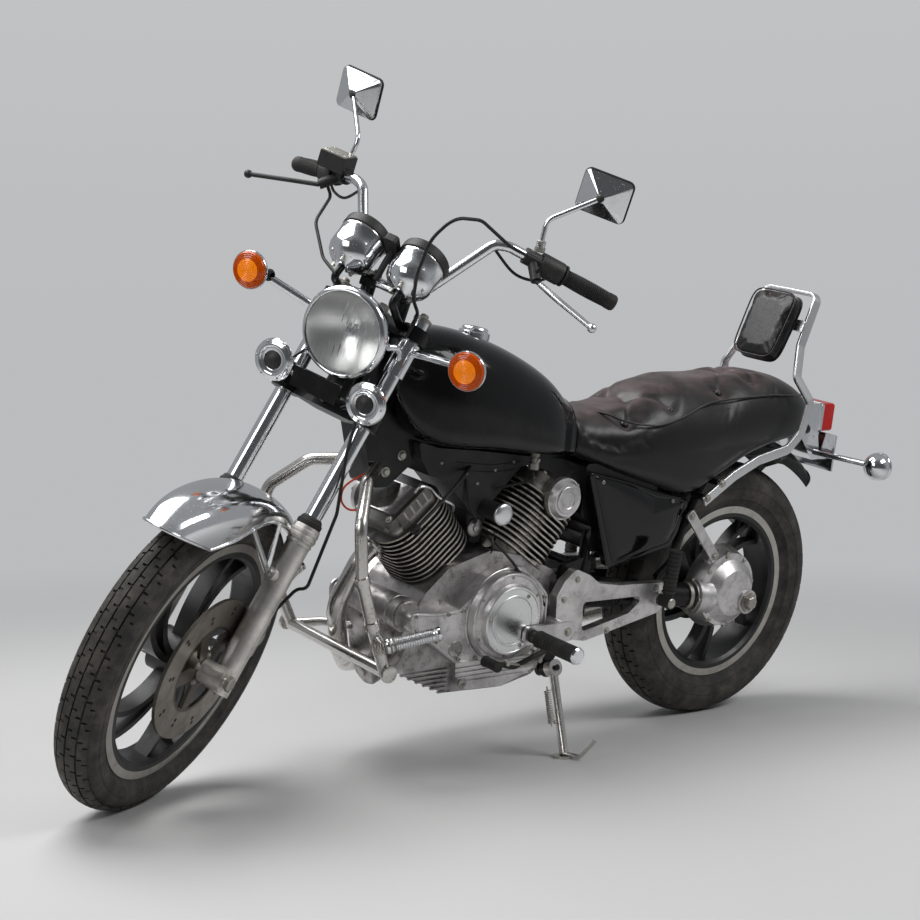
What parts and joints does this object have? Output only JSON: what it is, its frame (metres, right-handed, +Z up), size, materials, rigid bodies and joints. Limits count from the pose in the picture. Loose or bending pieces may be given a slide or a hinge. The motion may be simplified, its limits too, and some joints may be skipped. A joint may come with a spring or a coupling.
{
  "type": "cruiser motorcycle",
  "caption": "V-twin cruiser motorcycle with pulled-back handlebar, stepped buttoned seat, backrest hoop and cast wheels, leaning on its side stand with the steering at its left stop.",
  "frame": {"origin": "on the floor below the middle of the parked machine's bounding box", "axes": "+X forwards along the motorcycle, +Y to the rider's left, +Z up; the machine leans 10.17 degrees towards +Y on its side stand"},
  "size_m": [2.1818, 0.8054, 1.5037],
  "materials": {
    "frame_enamel": "semi-gloss black enamel",
    "body_paint": "deep gloss black paint",
    "wheel_enamel": "satin black with bare machined edges",
    "seat_leather": "worn dark brown-black, soft sheen",
    "chrome_plate": "bright plating with light pitting",
    "aged_chrome": "plating dulled and stained by age",
    "polished_alloy": "brushed and polished flat bar",
    "cast_alloy": "satin castings with grime in the corners",
    "fin_alloy": "dark fins with bare edges",
    "disc_steel": "machined steel, lightly marked",
    "tyre_rubber": "matt tread, dull sidewalls",
    "black_rubber": "moulded, matt",
    "black_plastic": "moulded, slightly faded",
    "mirror_glass": "silvered glass",
    "clear_lens": "fluted clear glass",
    "orange_lens": "translucent, ribbed inside",
    "red_lens": "translucent"
  },
  "bodies": {
    "chassis": {"frame": "frame_enamel", "fuel_tank": "body_paint", "seat": "seat_leather", "side_covers": "body_paint", "sissy_bar": "polished_alloy", "backrest_pad": "seat_leather", "rear_fender": "frame_enamel", "tail_bracket": "chrome_plate", "tail_lamp_lens": "red_lens", "rear_signal_lenses": "orange_lens", "crankcase": "cast_alloy", "engine_covers": "cast_alloy", "front_cylinder": "fin_alloy", "rear_cylinder": "fin_alloy", "carburettors": "black_plastic", "exhaust": "aged_chrome", "crash_bars": "aged_chrome", "foot_controls": "black_rubber", "footrest_brackets": "cast_alloy", "swingarm": "frame_enamel", "final_drive": "cast_alloy"},
    "steering": {"fork_tubes": "chrome_plate", "fork_sliders": "cast_alloy", "triple_clamps": "frame_enamel", "handlebar": "chrome_plate", "grips": "black_rubber", "control_pods": "black_plastic", "mirrors": "chrome_plate", "mirror_glasses": "mirror_glass", "headlight_shell": "chrome_plate", "headlight_lens": "clear_lens", "gauge_cups": "chrome_plate", "front_signal_bodies": "chrome_plate", "front_signal_lenses": "orange_lens", "horns": "chrome_plate", "front_fender": "chrome_plate", "brake_caliper": "black_plastic", "control_cables": "black_rubber"},
    "front_wheel": {"front_tyre": "tyre_rubber", "front_wheel_casting": "wheel_enamel", "brake_disc": "disc_steel"},
    "rear_wheel": {"rear_tyre": "tyre_rubber", "rear_wheel_casting": "wheel_enamel"},
    "side_stand": {"stand_leg": "aged_chrome", "stand_spring": "frame_enamel"}
  },
  "joints": [
    {"name": "steering_turn", "type": "hinge", "parent": "chassis", "child": "steering", "pos_m": [0.37399, 0.03061, 0.96007], "axis": [-0.4863, 0.1543, 0.86], "range_deg": [-62, 0]},
    {"name": "front_wheel_spin", "type": "hinge", "parent": "steering", "child": "front_wheel", "pos_m": [0.79314, -0.05801, 0.30796], "axis": [-0.45, 0.7995, -0.3979], "continuous": true},
    {"name": "rear_wheel_spin", "type": "hinge", "parent": "chassis", "child": "rear_wheel", "pos_m": [-0.72514, -0.08489, 0.31623], "axis": [0, 0.9843, -0.1766], "continuous": true},
    {"name": "side_stand_fold", "type": "hinge", "parent": "chassis", "child": "side_stand", "pos_m": [-0.12938, 0.01019, 0.18929], "axis": [0.0026, 0.9777, 0.2098], "range_deg": [0, 86]}
  ]
}
